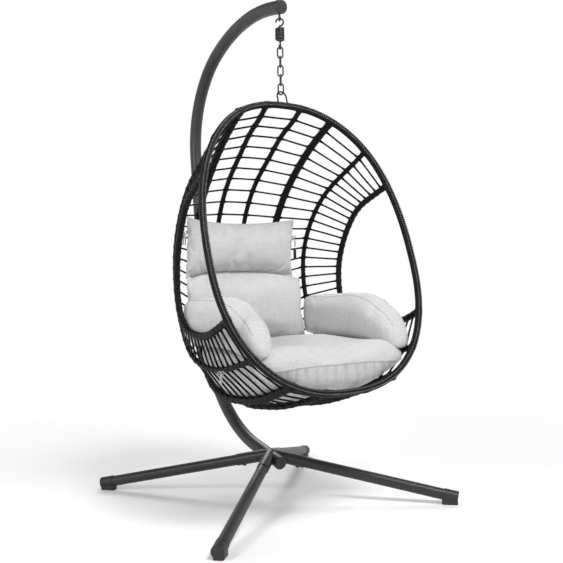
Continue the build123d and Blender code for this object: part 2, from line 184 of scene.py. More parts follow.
def moving_frames(points):
    """Two unit vectors across a polyline at each of its points, carried along without twisting."""
    tangents = np.gradient(points, axis=0)
    tangents /= np.linalg.norm(tangents, axis=1)[:, None]
    start = np.cross(tangents[0], ACROSS)
    normal = start / np.linalg.norm(start)
    normals = np.empty_like(points)
    for i, tangent in enumerate(tangents):
        normal = normal - tangent * normal.dot(tangent)
        normal = normal / np.linalg.norm(normal)
        normals[i] = normal
    return normals, np.cross(tangents, normals)


def rim_y(z):
    """Where the rim's surface stands along Y at a height."""
    bend = max(0.0, (z - SWEEP_FROM) / SWEEP_OVER)
    return RIM_BACK_Y + RIM_LEAN * (z - RIM_BACK_Z) + RIM_SWEEP * bend * bend


def rim_point(angle):
    """A point on the rim's axis, by its angle round the egg from the sitter's left."""
    c, s = math.cos(math.radians(angle)), math.sin(math.radians(angle))
    half, power = (RIM_ABOVE, POWER_ABOVE) if s > 0 else (-RIM_BELOW, POWER_BELOW)
    z = RIM_MIDDLE_Z + half * abs(s) ** (2 / power)
    return (RIM_HALF_WIDTH * math.copysign(abs(c) ** (2 / power), c), rim_y(z), z)


def rim_joint(x, top):
    """The point on the rim's axis at a distance from the middle, on its top or its bottom."""
    half, power = (RIM_ABOVE, POWER_ABOVE) if top else (-RIM_BELOW, POWER_BELOW)
    z = RIM_MIDDLE_Z + half * (1 - abs(x / RIM_HALF_WIDTH) ** power) ** (1 / power)
    return (x, rim_y(z), z)


def rib_axis(name, side, count):
    """Points along a rib's axis, on the sitter's left (side 1) or right (side -1)."""
    spacing, narrowing, winding, profile = RIBS[name]
    first = rim_joint(side * spacing, True)
    points = [first]
    for y, z in profile:
        points.append((side * (spacing - narrowing * (y - first[1])), y, z))
    points.append(rim_joint(points[-1][0], False))
    return cubic(points, count)


# ---------------------------------------------------------------- meshes

def new_object(name, verts, faces, material, smooth=True):
    """A mesh object from points in millimetres about the stand's centre."""
    mesh = bpy.data.meshes.new(name)
    moved = (np.array(verts, float) + (0, STAND_Y, 0)) * MM
    mesh.from_pydata(moved.tolist(), [], faces)
    mesh.polygons.foreach_set("use_smooth", [smooth] * len(mesh.polygons))
    mesh.validate()
    obj = bpy.data.objects.new(name, mesh)
    bpy.context.scene.collection.objects.link(obj)
    mesh.materials.append(material)
    return obj


class Tubes:
    """Gathers closed tubes into one mesh."""

    def __init__(self):
        self.verts = []
        self.faces = []
        self.count = 0

    def add(self, points, radius, sides):
        """Add a tube; radius is a number, or an array over (point, angle)."""
        points = np.array(points, float)
        normals, binormals = moving_frames(points)
        angle = np.arange(sides) * 2 * math.pi / sides
        across = np.cos(angle)[None, :, None] * normals[:, None, :]
        across = across + np.sin(angle)[None, :, None] * binormals[:, None, :]
        spread = np.broadcast_to(radius, (len(points), sides))
        ring = points[:, None, :] + spread[:, :, None] * across
        self.verts.append(ring.reshape(-1, 3))
        i = np.arange(len(points) - 1)[:, None] * sides
        j = np.arange(sides)[None, :]
        k = (j + 1) % sides
        quads = np.stack([i + j, i + k, i + k + sides, i + j + sides], axis=-1).reshape(-1, 4)
        self.faces.extend((quads + self.count).tolist())
        last = self.count + (len(points) - 1) * sides
        self.faces.append([self.count + side for side in reversed(range(sides))])
        self.faces.append([last + side for side in range(sides)])
        self.count += len(points) * sides

    def build(self, name, material):
        """The mesh object of every tube added."""
        return new_object(name, np.concatenate(self.verts), self.faces, material)


def finish_piece(piece, body, slot_name, *replaced):
    """Attach a piece to its body, and hide the CAD nodes it replaces."""
    if replaced:
        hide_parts(*replaced)
    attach(piece, body)


# ---------------------------------------------------------------- materials

EVEN_SCALE = (1, 1, 1)
UPRIGHT_SLUBS = (420, 420, 14)
LEVEL_SLUBS = (26, 26, 700)
UPRIGHT_SHARE = 0.6            # the rest of the weave's height is its level slubs
GLOW_FROM, GLOW_TO = 0.9, 2.6  # metres from the floor's middle over which it turns to the world's white


def new_material(name, colour, roughness):
    """A material with a principled shader; returns it with its node tree and the shader."""
    material = bpy.data.materials.new(name)
    material.use_nodes = True
    tree = material.node_tree
    shader = tree.nodes["Principled BSDF"]
    shader.inputs["Base Color"].default_value = (*colour, 1)
    shader.inputs["Roughness"].default_value = roughness
    return material, tree, shader


def mapped(tree, scale):
    """Object coordinates stretched by a scale along each axis."""
    coordinates = tree.nodes.new("ShaderNodeTexCoord")
    mapping = tree.nodes.new("ShaderNodeMapping")
    mapping.inputs["Scale"].default_value = scale
    tree.links.new(coordinates.outputs["Object"], mapping.inputs["Vector"])
    return mapping.outputs["Vector"]


def noise(tree, vector, scale, detail=4.0, rough=0.5):
    """A noise texture's value over a vector."""
    node = tree.nodes.new("ShaderNodeTexNoise")
    node.inputs["Scale"].default_value = scale
    node.inputs["Detail"].default_value = detail
    node.inputs["Roughness"].default_value = rough
    tree.links.new(vector, node.inputs["Vector"])
    return node.outputs["Fac"]


def ramp(tree, value, low, high, from_low=0.3, from_high=0.7):
    """A colour between two as a value goes between two limits."""
    node = tree.nodes.new("ShaderNodeValToRGB")
    node.color_ramp.elements[0].position = from_low
    node.color_ramp.elements[0].color = (*low, 1)
    node.color_ramp.elements[1].position = from_high
    node.color_ramp.elements[1].color = (*high, 1)
    tree.links.new(value, node.inputs["Fac"])
    return node.outputs["Color"]


def remap(tree, value, low, high, from_low=0.3, from_high=0.7):
    """A number between two as a value goes between two limits."""
    node = tree.nodes.new("ShaderNodeMapRange")
    node.inputs["From Min"].default_value = from_low
    node.inputs["From Max"].default_value = from_high
    node.inputs["To Min"].default_value = low
    node.inputs["To Max"].default_value = high
    tree.links.new(value, node.inputs["Value"])
    return node.outputs["Result"]


def bump(tree, shader, height, strength, distance, under=None):
    """Bump a shader's normal by a height; returns the normal for a further layer."""
    node = tree.nodes.new("ShaderNodeBump")
    node.inputs["Strength"].default_value = strength
    node.inputs["Distance"].default_value = distance
    tree.links.new(height, node.inputs["Height"])
    if under is not None:
        tree.links.new(under, node.inputs["Normal"])
    tree.links.new(node.outputs["Normal"], shader.inputs["Normal"])
    return node.outputs["Normal"]


def tinted(tree, shader, scale, dark, pale):
    """Vary a shader's colour between two, in patches; a larger scale makes them smaller."""
    patches = noise(tree, mapped(tree, EVEN_SCALE), scale)
    tree.links.new(ramp(tree, patches, dark, pale), shader.inputs["Base Color"])


def rubbed(tree, shader, scale, glossy, dull):
    """Vary a shader's roughness between two, in patches."""
    patches = noise(tree, mapped(tree, EVEN_SCALE), scale)
    tree.links.new(remap(tree, patches, glossy, dull), shader.inputs["Roughness"])


def grained(tree, shader, scale, detail, strength, distance):
    """Give a shader a fine grain by bump."""
    bump(tree, shader, noise(tree, mapped(tree, EVEN_SCALE), scale, detail), strength, distance)


def powder_coat():
    """Charcoal powder coat on steel tube: a fine orange peel and slightly uneven gloss."""
    material, tree, shader = new_material("powder_coat", (0.022, 0.0225, 0.024), 0.4)
    tinted(tree, shader, 9, (0.018, 0.0185, 0.020), (0.027, 0.0275, 0.029))
    rubbed(tree, shader, 60, 0.36, 0.46)
    grained(tree, shader, 900, 2, 0.12, 0.0004)
    shader.inputs["Specular IOR Level"].default_value = 0.4
    return material


def black_plastic():
    """Moulded black plastic of the caps and feet."""
    material, tree, shader = new_material("black_plastic", (0.014, 0.014, 0.015), 0.5)
    tinted(tree, shader, 30, (0.011, 0.011, 0.012), (0.018, 0.018, 0.019))
    grained(tree, shader, 1400, 2, 0.15, 0.0003)
    return material


def dark_steel():
    """Blackened steel of the chain, spring and bolts, rubbed a little brighter in places."""
    material, tree, shader = new_material("dark_steel", (0.03, 0.03, 0.032), 0.38)
    tinted(tree, shader, 80, (0.018, 0.018, 0.020), (0.055, 0.056, 0.06))
    rubbed(tree, shader, 120, 0.30, 0.48)
    grained(tree, shader, 700, 3, 0.15, 0.0003)
    shader.inputs["Metallic"].default_value = 0.55
    return material


def rattan():
    """Black synthetic cane: near black, a little glossy, with a fine grain."""
    material, tree, shader = new_material("rattan", (0.010, 0.010, 0.010), 0.4)
    tinted(tree, shader, 45, (0.0016, 0.0016, 0.0016), (0.006, 0.006, 0.006))
    rubbed(tree, shader, 140, 0.30, 0.48)
    grained(tree, shader, 1100, 3, 0.25, 0.0004)
    shader.inputs["Specular IOR Level"].default_value = 0.14
    return material


def braid_cane_painted_highlight():
    """The shinier cane of the braid along the rim; its colour, lighter than the other cane's, is a
    painted highlight.
    """
    material, tree, shader = new_material("rattan_braid_painted_highlight", (0.02, 0.02, 0.02), 0.2)
    # painted highlight: the braid's colour is set lighter than the black cane's, so its lines show as
    # highlights along the rim
    tinted(tree, shader, 90, (0.012, 0.012, 0.012), (0.035, 0.035, 0.035))
    rubbed(tree, shader, 200, 0.14, 0.30)
    grained(tree, shader, 900, 3, 0.15, 0.0003)
    shader.inputs["Specular IOR Level"].default_value = 0.8
    return material


def linen(name, light, shade):
    """Pale grey woven cloth with upright slubs, a weave too fine to see from afar, and a soft sheen."""
    material, tree, shader = new_material(name, light, 0.85)
    slub = noise(tree, mapped(tree, UPRIGHT_SLUBS), 1.0, 3, 0.6)
    cross = noise(tree, mapped(tree, LEVEL_SLUBS), 1.0, 2, 0.5)
    cloud = noise(tree, mapped(tree, EVEN_SCALE), 7, 3)
    mix = tree.nodes.new("ShaderNodeMath")
    mix.operation = "MULTIPLY_ADD"
    mix.inputs[1].default_value = UPRIGHT_SHARE
    tree.links.new(slub, mix.inputs[0])
    share = tree.nodes.new("ShaderNodeMath")
    share.operation = "MULTIPLY"
    share.inputs[1].default_value = 1 - UPRIGHT_SHARE
    tree.links.new(cross, share.inputs[0])
    tree.links.new(share.outputs[0], mix.inputs[2])
    threads = mix.outputs[0]
    colour = tree.nodes.new("ShaderNodeMix")
    colour.data_type = "RGBA"
    colour.blend_type = "MULTIPLY"
    colour.inputs["Factor"].default_value = 1.0
    tree.links.new(ramp(tree, threads, shade, light, 0.36, 0.62), colour.inputs["A"])
    tree.links.new(ramp(tree, cloud, (0.93, 0.93, 0.93), (1, 1, 1)), colour.inputs["B"])
    tree.links.new(colour.outputs["Result"], shader.inputs["Base Color"])
    wide = bump(tree, shader, noise(tree, mapped(tree, EVEN_SCALE), 38, 3), 0.10, 0.004)
    bump(tree, shader, threads, 0.35, 0.0008, wide)
    shader.inputs["Sheen Weight"].default_value = 0.25
    shader.inputs["Sheen Roughness"].default_value = 0.5
    shader.inputs["Specular IOR Level"].default_value = 0.25
    return material


def floor_material():
    """A white floor whose far part glows as white as the world behind it."""
    material, tree, shader = new_material("floor_white", (0.93, 0.93, 0.93), 0.6)
    place = tree.nodes.new("ShaderNodeTexCoord")
    distance = tree.nodes.new("ShaderNodeVectorMath")
    distance.operation = "LENGTH"
    tree.links.new(place.outputs["Object"], distance.inputs[0])
    fade = tree.nodes.new("ShaderNodeMapRange")
    fade.interpolation_type = "SMOOTHSTEP"
    fade.inputs["From Min"].default_value = GLOW_FROM
    fade.inputs["From Max"].default_value = GLOW_TO
    tree.links.new(distance.outputs["Value"], fade.inputs["Value"])
    glow = tree.nodes.new("ShaderNodeEmission")
    mixed = tree.nodes.new("ShaderNodeMixShader")
    tree.links.new(fade.outputs["Result"], mixed.inputs["Fac"])
    tree.links.new(shader.outputs["BSDF"], mixed.inputs[1])
    tree.links.new(glow.outputs["Emission"], mixed.inputs[2])
    tree.links.new(mixed.outputs["Shader"], tree.nodes["Material Output"].inputs["Surface"])
    return material


coat = powder_coat()
plastic = black_plastic()
steel = dark_steel()
cane = rattan()
braid_painted_highlight = braid_cane_painted_highlight()
cloth = linen("linen", (0.60, 0.60, 0.603), (0.46, 0.46, 0.463))
piping_cloth = linen("linen_piping", (0.54, 0.54, 0.543), (0.42, 0.42, 0.423))
tag_cloth = linen("tag_cloth", (0.02, 0.02, 0.02), (0.012, 0.012, 0.012))

# the finish of the CAD nodes that are shown as they are; the others are replaced further down
for node_name, node in nodes.items():
    if node_name.startswith(("foot_", "arm_plug", "stub_plug")):
        finish = plastic
    elif node_name.startswith(("chain_link", "eye_", "saddle", "joint_bolts", "leg_bolts")):
        finish = steel
    elif node_name.startswith(("rim_", "rib_", "strands_", "frame_", "hanging_ring")):
        finish = cane
    elif node_name.startswith(("post_", "leg_", "lower_spigot", "upper_spigot")):
        finish = coat
    else:
        finish = cloth
    node.data.materials.clear()
    node.data.materials.append(finish)

# ---------------------------------------------------------------- wound rim and ribs

def wound_radius(points, radius, sides, rises):
    """Radius over (point, angle) of a bar wound with flat cane, standing proud at the given places.

    rises lists (distance along the bar, height, reach) in millimetres.
    """
    step = np.linalg.norm(np.diff(points, axis=0), axis=1).mean()
    s = np.arange(len(points)) * step
    turn = np.arange(sides) / sides
    across = 2 * np.mod(s[:, None] / BAND + turn[None, :], 1.0) - 1
    wound = radius - GROOVE * across ** GROOVE_POWER
    for place, height, reach in rises:
        wound += height * np.exp(-((s - place) / reach) ** 2)[:, None]
    return wound


def band_count(total):
    """How many points a wound bar of a length needs."""
    return int(total / BAND * BAND_SAMPLES)


rim_loop = np.array([rim_point(90 + 360 * i / RIM_STEPS) for i in range(RIM_STEPS + 1)])
rim_length = length(rim_loop)
rim_bar = even(rim_loop, band_count(rim_length))
rib_ends = []
rib_rows = {}
for side in SIDES:
    for rib_name in RIB_ORDER:
        axis = rib_axis(rib_name, side, AXIS_POINTS)
        rib_length = length(axis)
        rib_rows[rib_name, side] = even(axis, ROWS + 1)
        bar = even(axis, band_count(rib_length))
        rises = [(rib_length * row / ROWS, LOOP_RISE, LOOP_REACH) for row in range(1, ROWS)]
        rises += [(0, END_RISE, END_REACH), (rib_length, END_RISE, END_REACH)]
        rib_ends += [axis[0], axis[-1]]
        tubes = Tubes()
        tubes.add(bar, wound_radius(bar, RIBS[rib_name][2] / 2, RIB_SIDES, rises), RIB_SIDES)
        piece = tubes.build(f"wound_rib_{rib_name}_{SIDES[side]}", cane)
        finish_piece(piece, "basket", "rattan", f"rib_{rib_name}_{SIDES[side]}")

rim_places = []
for end in rib_ends:
    nearest = int(np.argmin(np.linalg.norm(rim_bar - end, axis=1)))
    rim_places.append((nearest * rim_length / len(rim_bar), LASHING_RISE, LASHING_REACH))
tubes = Tubes()
tubes.add(rim_bar, wound_radius(rim_bar, RIM_D / 2, WOUND_RIM_SIDES, rim_places), WOUND_RIM_SIDES)
finish_piece(tubes.build("wound_rim", cane), "basket", "rattan", "rim_wrap_left", "rim_wrap_right",
             "frame_left", "frame_right")

BRAID_TURN = 24.0        # degrees each braided line stands off the rim's front
BRAID_PITCH = 9.0
BRAID_D = 4.6
BRAID_STANDS = 0.4       # how far a line's middle stands off the rim
BRAID_WEAVE = 0.9        # how far it goes in and out
BRAID_SWAY = 0.8         # how far it goes from side to side
BRAID_SWELL = 0.35       # how much thicker it is where it passes over
BRAID_SIDES = 8
lean = math.atan(RIM_LEAN)
forward = np.array((0, -math.cos(lean), math.sin(lean)))
along_rim = np.gradient(rim_bar, axis=0)
along_rim /= np.linalg.norm(along_rim, axis=1)[:, None]
outward = np.cross(along_rim, forward)
tubes = Tubes()
for line in (-1, 1):
    a = math.radians(line * BRAID_TURN)
    phase = np.arange(len(rim_bar)) * rim_length / len(rim_bar) / BRAID_PITCH * 2 * math.pi
    weave = np.sin(phase + line * math.pi / 2)
    proud = RIM_D / 2 + BRAID_STANDS + BRAID_WEAVE * weave
    side_sway = BRAID_SWAY * np.cos(phase)
    braid = rim_bar + (forward * math.cos(a) + outward * math.sin(a)) * proud[:, None]
    braid = braid + outward * side_sway[:, None]
    tubes.add(braid, (BRAID_D / 2 + BRAID_SWELL * weave)[:, None], BRAID_SIDES)
finish_piece(tubes.build("rim_braid", braid_painted_highlight), "basket", "rattan")

STRAND_FLARE = 1.9       # how much thicker a strand is where its end is bound to a rib
FLARE_REACH = 7.0
STRAND_INSIDE = 4.0      # how deep its ends go into the ribs
STRAND_BOW = 0.7         # how far it strays from straight, at random
STRAND_POINTS = 19
STRAND_SIDES = 10
STRAND_SEED = 7


def add_strand(tubes, start, end, start_d, end_d, bow):
    """Add one strand between two ribs' axes, thicker at its bound ends and slightly bowed."""
    way = end - start
    span = np.linalg.norm(way)
    way = way / span
    inside = np.linspace(start_d / 2 - STRAND_INSIDE, span - end_d / 2 + STRAND_INSIDE,
                         STRAND_POINTS)
    from_end = np.minimum(inside - start_d / 2, span - end_d / 2 - inside)
    radius = STRAND_D / 2 + STRAND_FLARE * np.exp(-(np.maximum(from_end, 0) / FLARE_REACH) ** 2)
    part = (inside - inside[0]) / (inside[-1] - inside[0])
    points = start + way * inside[:, None] + bow * (4 * part * (1 - part))[:, None]
    tubes.add(points, radius[:, None], STRAND_SIDES)


gaps = [((outer, side), (inner, side)) for side in SIDES
        for outer, inner in zip(RIB_ORDER, RIB_ORDER[1:])]
gaps.append((("inner", -1), ("inner", 1)))
seeded = np.random.default_rng(STRAND_SEED)
for first, second in gaps:
    place = "middle" if first[0] == second[0] else f"{first[0]}_{SIDES[first[1]]}"
    tubes = Tubes()
    for row in range(1, ROWS):
        add_strand(tubes, rib_rows[first][row], rib_rows[second][row], RIBS[first[0]][2],
                   RIBS[second[0]][2], seeded.normal(0, STRAND_BOW, 3))
    finish_piece(tubes.build(f"cane_strands_{place}", cane), "basket", "rattan", f"strands_{place}")

# ---------------------------------------------------------------- spring

def hanger_point(yaw, across, z):
    """A point on the hanger, across its vertical line in a plane turned by yaw about Z."""
    a = math.radians(yaw)
    return (across * math.cos(a), HANG_Y + across * math.sin(a), z)


def hook_points(bar_z, radius, yaw, up):
    """Points from the middle of a hook's bar round its loop to its open end."""
    turns = np.radians(np.linspace(0, HOOK_SWEEP, HOOK_POINTS))
    return [hanger_point(yaw, radius * math.sin(a), bar_z + up * radius * (1 - math.cos(a)))
            for a in turns]


def spring_wire():
    """Points along the spring's wire from the lower hook's end to the upper one's."""
    lower_yaw = HANG_YAW + 90
    start = lower_yaw + 180
    parts = np.linspace(0, 1, int(COIL_TURNS * COIL_POINTS))
    coil = [hanger_point(start + 360 * COIL_TURNS * part, SPRING_R,
                         COIL_LOW + (COIL_HIGH - COIL_LOW) * part) for part in parts]
    lower = hook_points(LOWER_BAR, LOWER_LOOP_R, lower_yaw, -1)[::-1]
    upper = hook_points(UPPER_BAR, UPPER_LOOP_R, HANG_YAW, 1)
    return even(lower + coil[COIL_CUT:-COIL_CUT] + upper, SPRING_POINTS)


tubes = Tubes()
tubes.add(spring_wire(), SPRING_WIRE / 2, SPRING_SIDES)
spring = tubes.build("hook_spring", steel)
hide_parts("extension_spring")
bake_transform(spring)

# ---------------------------------------------------------------- cushions

def sheet_grid(columns, rows, place, crown):
    """Two sheets joined at their edge, crowned by crown(u, v) and put in place by place(u, v, w)."""
    verts = []
    index = {}
    faces = []
    us = np.sin(np.linspace(-1, 1, columns) * math.pi / 2)
    vs = np.sin(np.linspace(-1, 1, rows) * math.pi / 2)
    for face in (1, -1):
        for i, u in enumerate(us):
            for j, v in enumerate(vs):
                edge = i in (0, columns - 1) or j in (0, rows - 1)
                if edge and face == -1:
                    index[face, i, j] = index[1, i, j]
                    continue
                index[face, i, j] = len(verts)
                verts.append(place(u, v, 0 if edge else face * crown(u, v)))
        for i in range(columns - 1):
            for j in range(rows - 1):
                quad = [index[face, i, j], index[face, i + 1, j],
                        index[face, i + 1, j + 1], index[face, i, j + 1]]
                faces.append(quad if face == 1 else quad[::-1])
    rim = [index[1, i, 0] for i in range(columns)]
    rim += [index[1, columns - 1, j] for j in range(1, rows)]
    rim += [index[1, i, rows - 1] for i in range(columns - 2, -1, -1)]
    rim += [index[1, 0, j] for j in range(rows - 2, 0, -1)]
    return verts, faces, rim


def ring_faces(rings, sides):
    """Faces of a closed bag whose points are given ring after ring."""
    faces = []
    for i in range(rings - 1):
        for k in range(sides):
            n = (k + 1) % sides
            faces.append([i * sides + k, i * sides + n, (i + 1) * sides + n, (i + 1) * sides + k])
    last = (rings - 1) * sides
    faces.append([k for k in range(sides)][::-1])
    faces.append([last + k for k in range(sides)])
    return faces


def inflate(obj, cap, held=(), slack=0.0, stiff=15.0):
    """Blow a closed mesh up by cloth simulation, letting no point move further than cap (mm)."""
    scene = bpy.context.scene
    before = np.array([v.co for v in obj.data.vertices])
    modifier = obj.modifiers.new("Cloth", "CLOTH")
    settings = modifier.settings
    settings.quality = 5
    settings.mass = 0.3
    settings.tension_stiffness = stiff
    settings.compression_stiffness = stiff
    settings.shear_stiffness = stiff / 2
    settings.bending_stiffness = 0.6
    settings.use_pressure = True
    settings.uniform_pressure_force = PRESSURE
    settings.shrink_min = -slack
    settings.effector_weights.gravity = 0
    if len(held):
        group = obj.vertex_groups.new(name="held")
        group.add([int(i) for i in held], 1.0, "REPLACE")
        settings.vertex_group_mass = "held"
    modifier.point_cache.frame_start = 1
    modifier.point_cache.frame_end = SIM_FRAMES
    for number in range(1, SIM_FRAMES + 1):
        scene.frame_set(number)
    shape = obj.evaluated_get(bpy.context.evaluated_depsgraph_get()).to_mesh()
    after = np.array([v.co for v in shape.vertices])
    obj.modifiers.remove(modifier)
    move = after - before
    far = np.linalg.norm(move, axis=1)
    limit = cap * MM
    eased = limit * np.tanh(far / limit) / np.maximum(far, 1e-9)
    result = before + move * eased[:, None]
    obj.data.vertices.foreach_set("co", result.astype(np.float32).ravel())
    obj.data.update()
    scene.frame_set(1)


def remesh(obj, voxel):
    """Rebuild a mesh from voxels of a size in millimetres."""
    modifier = obj.modifiers.new("Remesh", "REMESH")
    modifier.mode = "VOXEL"
    modifier.voxel_size = voxel * MM
    modifier.use_smooth_shade = True
    apply_modifiers(obj)


def apply_modifiers(obj):
    """Replace an object's mesh by its evaluated one."""
    shape = bpy.data.meshes.new_from_object(obj.evaluated_get(bpy.context.evaluated_depsgraph_get()))
    obj.modifiers.clear()
    obj.data = shape


def subdivide(obj):
    """One level of subdivision, applied."""
    modifier = obj.modifiers.new("Subdivision", "SUBSURF")
    modifier.levels = 1
    modifier.render_levels = 1
    apply_modifiers(obj)
    obj.data.polygons.foreach_set("use_smooth", [True] * len(obj.data.polygons))


def surface_line(obj, points, lift):
    """Points moved onto an object's surface, then off it by a lift in millimetres."""
    tree = BVHTree.FromObject(obj, bpy.context.evaluated_depsgraph_get())
    moved = []
    for point in points:
        place, normal, _, _ = tree.find_nearest(at(*point))
        place = place * METRE + normal * lift
        moved.append((place.x, place.y - STAND_Y, place.z))
    return moved


def add_seam(name, obj, points, diameter, lift, count=160):
    """A sewn edge or piping that lies on a cushion's surface along the given points."""
    line = surface_line(obj, even(cubic(points, count), count), lift)
    line = cubic(line[::SEAM_SKIP], 2 * count)
    tubes = Tubes()
    tubes.add(line, diameter / 2, SEAM_SIDES)
    finish_piece(tubes.build(name, piping_cloth), "basket", "linen")


EDGE_POINTS = 520
EDGE_SEAM_D = 2.6

# the pillow and the back cushion sit a little off the middle, bent to the shell behind them
PILLOW_X = -20.0
PILLOW_Z = (868.0, 1112.0)
PILLOW_HALF_WIDTH = 252.0
PILLOW_HALF_DEPTH = 55.0
PILLOW_WAIST = 0.035     # how far its ends are pulled in, as a share of its half width
PILLOW_TOP_BOW = 0.14    # how far its top edge is pulled down, as a share of its half height
PILLOW_FOOT_BOW = 0.20   # how far its bottom edge is pulled up
PILLOW_Y = 230.0
PILLOW_TILT = 10.0       # how much further forward its top edge is than its middle
PILLOW_BEND = 66.0       # how much further forward its ends are
BACK_X = -25.0
BACK_Z = (606.0, 862.0)
BACK_HALF_WIDTH = 264.0
BACK_HALF_DEPTH = 58.0
BACK_WAIST = 0.025
BACK_TOP_CROWN = 30.0    # how much higher its top edge is in the middle
BACK_Y = 206.0
BACK_TILT = 20.0         # how much further back its top edge is than its middle
BACK_BEND = 96.0


def pillow_place(u, v, w):
    """A point of the head pillow: its ends pulled in between the corners, its edges bowed."""
    half = PILLOW_HALF_WIDTH * (1 - PILLOW_WAIST * (1 - v * v))
    x = u * half
    middle = (PILLOW_Z[0] + PILLOW_Z[1]) / 2
    rise = (PILLOW_Z[1] - PILLOW_Z[0]) / 2
    bow = 1 - (PILLOW_TOP_BOW if v > 0 else PILLOW_FOOT_BOW) * (1 - abs(u) ** 2.2)
    z = middle + v * rise * bow
    y = PILLOW_Y - PILLOW_TILT * v - PILLOW_BEND * (x / PILLOW_HALF_WIDTH) ** 2
    return (PILLOW_X + x, y - w, z)


def pillow_crown(u, v):
    """Half thickness of the head pillow."""
    return PILLOW_HALF_DEPTH * ((1 - abs(u) ** 3) * (1 - abs(v) ** 2.4)) ** 0.55


def back_place(u, v, w):
    """A point of the back cushion, its top edge crowned in the middle."""
    half = BACK_HALF_WIDTH * (1 - BACK_WAIST * (1 - v * v))
    x = u * half
    middle = (BACK_Z[0] + BACK_Z[1]) / 2
    rise = (BACK_Z[1] - BACK_Z[0]) / 2
    crown = BACK_TOP_CROWN * (1 - abs(u) ** 2.5) * max(v, 0) ** 2
    y = BACK_Y + BACK_TILT * v - BACK_BEND * (x / BACK_HALF_WIDTH) ** 2
    return (BACK_X + x, y - w, middle + v * rise + crown)


def back_crown(u, v):
    """Half thickness of the back cushion."""
    return BACK_HALF_DEPTH * ((1 - abs(u) ** 3.4) * (1 - abs(v) ** 3.0)) ** 0.5


def square_cushion(name, node_name, size, place, crown, cap):
    """A cushion of two sheets sewn at their edge and blown up, with the sewn edge as its own line."""
    verts, faces, rim = sheet_grid(*size, place, crown)
    obj = new_object(name, verts, faces, cloth)
    edge_line = [verts[i] for i in rim]
    inflate(obj, cap, held=rim, slack=0.045)
    subdivide(obj)
    finish_piece(obj, "basket", "linen", node_name)
    tubes = Tubes()
    tubes.add(cubic(edge_line[::SEAM_SKIP], EDGE_POINTS), EDGE_SEAM_D / 2, SEAM_SIDES)
    finish_piece(tubes.build(f"{name}_seam", piping_cloth), "basket", "linen")
    return obj


square_cushion("pillow_cloth", "head_pillow", (92, 46), pillow_place, pillow_crown, 14.0)
square_cushion("back_cloth", "back_cushion", (96, 56), back_place, back_crown, 12.0)

ARM_SECTIONS = {         # y: x and z of the middle, half width and half height
    128: (274, 710, 6, 52),
    124: (275, 709, 16, 66),
    112: (278, 708, 28, 76),
    70: (287, 708, 43, 82),
    0: (298, 708, 58, 86),
    -100: (299, 708, 71, 87),
    -250: (300, 707, 71, 87),
    -310: (300, 695, 67, 80),
    -360: (300, 676, 60, 73),
    -400: (300, 660, 54, 61),
    -428: (300, 641, 44, 42),
    -440: (301, 628, 30, 27),
    -447: (302, 620, 10, 11),
}
ARM_RINGS = 90
ARM_SIDES = 64
ARM_SQUARE = 0.66        # below 1, how square the section is
ARM_SEAMS = (62.0, 116.0)      # where its two seams are, in degrees round the section
CREST_FROM, CREST_OVER = 655.0, 90.0      # heights over which the puckers set in
PUCKER_FROM, PUCKER_OVER = -90.0, 160.0   # where along the cushion they set in, going forward
PUCKER_RISE = 2.2
SEAM_OFF, SEAM_REACH = 30.0, 26.0         # how far from the middle the seams are, and their reach


def arm_point(side, section, a):
    """A point of an arm cushion's outline at a section, by its angle round it."""
    y, x, z, half_width, half_height = section
    c, s = math.cos(a), math.sin(a)
    return (side * (x + half_width * math.copysign(abs(c) ** ARM_SQUARE, c)), y,
            z + half_height * math.copysign(abs(s) ** ARM_SQUARE, s))


def gather(obj, side):
    """Pucker an arm cushion across its crest, more towards the front."""
    co = np.empty(len(obj.data.vertices) * 3, np.float32)
    obj.data.vertices.foreach_get("co", co)
    co = co.reshape(-1, 3)
    x = co[:, 0] * METRE * side - ARM_SECTIONS[-250][0]
    y = co[:, 1] * METRE - STAND_Y
    z = co[:, 2] * METRE
    crest = np.clip((z - CREST_FROM) / CREST_OVER, 0, 1)
    crest = crest * np.clip((PUCKER_FROM - y) / PUCKER_OVER, 0, 1)
    wave = np.sin(y / 7.5 + 0.05 * x + 1.7 * np.sin(y / 31)) * np.sin(y / 19 + 0.03 * x)
    near_seam = np.exp(-((np.abs(x) - SEAM_OFF) / SEAM_REACH) ** 2)
    co[:, 2] += PUCKER_RISE * MM * crest * wave * near_seam
    obj.data.vertices.foreach_set("co", co.ravel())
    obj.data.update()


def arm_cushion(side):
    """An arm cushion: an oval bag along the side wall that droops to the front of the seat."""
    keys = sorted(ARM_SECTIONS, reverse=True)
    table = np.array([[key, *ARM_SECTIONS[key]] for key in keys], float)
    smooth_table = np.hstack([cubic(table[:, :3], ARM_RINGS), np.zeros((ARM_RINGS, 2))])
    for column in (3, 4):
        smooth_table[:, column] = np.interp(-smooth_table[:, 0], -table[:, 0], table[:, column])
    verts = []
    for section in smooth_table:
        for k in range(ARM_SIDES):
            verts.append(arm_point(side, section, 2 * math.pi * k / ARM_SIDES))
    faces = ring_faces(ARM_RINGS, ARM_SIDES)
    if side < 0:
        faces = [face[::-1] for face in faces]
    name = f"arm_cloth_{SIDES[side]}"
    obj = new_object(name, verts, faces, cloth)
    remesh(obj, 6.0)
    inflate(obj, 9.0, slack=0.03)
    subdivide(obj)
    gather(obj, side)
    finish_piece(obj, "basket", "linen", f"arm_cushion_{SIDES[side]}")
    for number, turn in enumerate(ARM_SEAMS):
        line = [arm_point(side, section, math.radians(turn)) for section in smooth_table[4:-2:3]]
        add_seam(f"{name}_seam_{number}", obj, line, 3.0, 0.4)
    return obj


for side in SIDES:
    arm_cushion(side)

